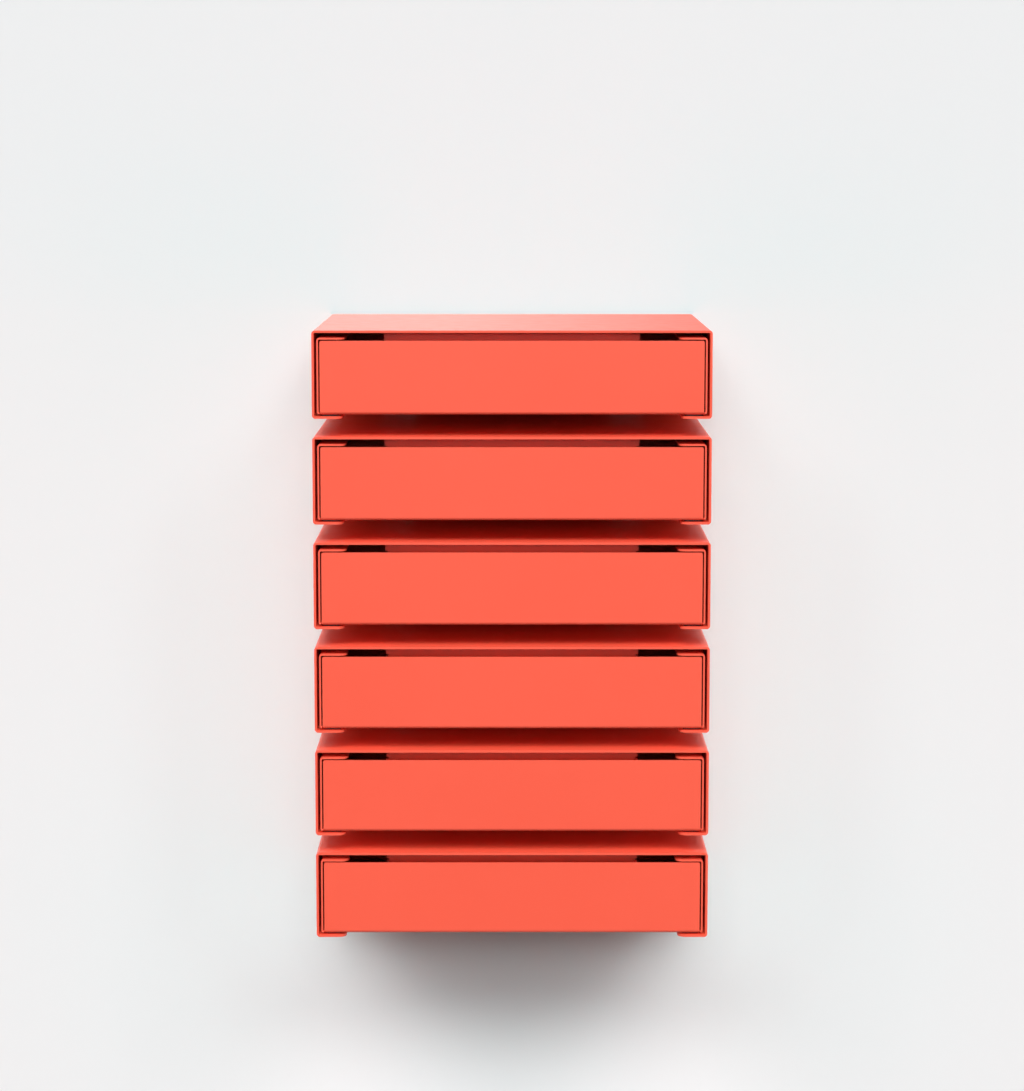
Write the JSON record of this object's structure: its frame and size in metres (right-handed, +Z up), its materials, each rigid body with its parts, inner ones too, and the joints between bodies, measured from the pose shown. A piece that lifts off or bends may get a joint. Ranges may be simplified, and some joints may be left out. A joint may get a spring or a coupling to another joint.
{
  "type": "wall drawer unit",
  "caption": "Wall-mounted stack of shallow folded-steel housings, open in front, each with a sliding drawer without a lid, carried by flat bars behind.",
  "frame": {"origin": "on the wall plane, at the centre of the rectangle of outer wall screw holes", "axes": "+Z up, -Y out of the wall towards the user and the way the drawers open, +X to the right as seen from the front"},
  "size_m": [0.35, 0.253, 0.5438],
  "materials": {
    "coral_coat": "satin coral red powder coat",
    "black_nylon": "moulded black nylon",
    "black_rubber": "matt black rubber",
    "zinc_steel": "zinc plated"
  },
  "bodies": {
    "wall_frame": {"wall_rail_left": "zinc_steel", "wall_rail_right": "zinc_steel", "housing_1": "coral_coat", "housing_glides_1": "black_nylon", "housing_screws_1": "zinc_steel", "back_bumpers_1": "black_rubber", "housing_2": "coral_coat", "housing_glides_2": "black_nylon", "housing_screws_2": "zinc_steel", "back_bumpers_2": "black_rubber", "housing_3": "coral_coat", "housing_glides_3": "black_nylon", "housing_screws_3": "zinc_steel", "back_bumpers_3": "black_rubber", "housing_4": "coral_coat", "housing_glides_4": "black_nylon", "housing_screws_4": "zinc_steel", "back_bumpers_4": "black_rubber", "housing_5": "coral_coat", "housing_glides_5": "black_nylon", "housing_screws_5": "zinc_steel", "back_bumpers_5": "black_rubber", "housing_6": "coral_coat", "housing_glides_6": "black_nylon", "housing_screws_6": "zinc_steel", "back_bumpers_6": "black_rubber"},
    "drawer_1": {"drawer_tray_1": "coral_coat", "drawer_glides_1": "black_nylon", "tip_guards_1": "black_nylon", "pull_plate_1": "coral_coat", "plate_rivets_1": "zinc_steel"},
    "drawer_2": {"drawer_tray_2": "coral_coat", "drawer_glides_2": "black_nylon", "tip_guards_2": "black_nylon", "pull_plate_2": "coral_coat", "plate_rivets_2": "zinc_steel"},
    "drawer_3": {"drawer_tray_3": "coral_coat", "drawer_glides_3": "black_nylon", "tip_guards_3": "black_nylon", "pull_plate_3": "coral_coat", "plate_rivets_3": "zinc_steel"},
    "drawer_4": {"drawer_tray_4": "coral_coat", "drawer_glides_4": "black_nylon", "tip_guards_4": "black_nylon", "pull_plate_4": "coral_coat", "plate_rivets_4": "zinc_steel"},
    "drawer_5": {"drawer_tray_5": "coral_coat", "drawer_glides_5": "black_nylon", "tip_guards_5": "black_nylon", "pull_plate_5": "coral_coat", "plate_rivets_5": "zinc_steel"},
    "drawer_6": {"drawer_tray_6": "coral_coat", "drawer_glides_6": "black_nylon", "tip_guards_6": "black_nylon", "pull_plate_6": "coral_coat", "plate_rivets_6": "zinc_steel"}
  },
  "joints": [
    {"name": "drawer_1_slide", "type": "slide", "parent": "wall_frame", "child": "drawer_1", "axis": [0, -1, 0], "range_m": [0, 0.2005]},
    {"name": "drawer_2_slide", "type": "slide", "parent": "wall_frame", "child": "drawer_2", "axis": [0, -1, 0], "range_m": [0, 0.2005]},
    {"name": "drawer_3_slide", "type": "slide", "parent": "wall_frame", "child": "drawer_3", "axis": [0, -1, 0], "range_m": [0, 0.2005]},
    {"name": "drawer_4_slide", "type": "slide", "parent": "wall_frame", "child": "drawer_4", "axis": [0, -1, 0], "range_m": [0, 0.2005]},
    {"name": "drawer_5_slide", "type": "slide", "parent": "wall_frame", "child": "drawer_5", "axis": [0, -1, 0], "range_m": [0, 0.2005]},
    {"name": "drawer_6_slide", "type": "slide", "parent": "wall_frame", "child": "drawer_6", "axis": [0, -1, 0], "range_m": [0, 0.2005]}
  ]
}
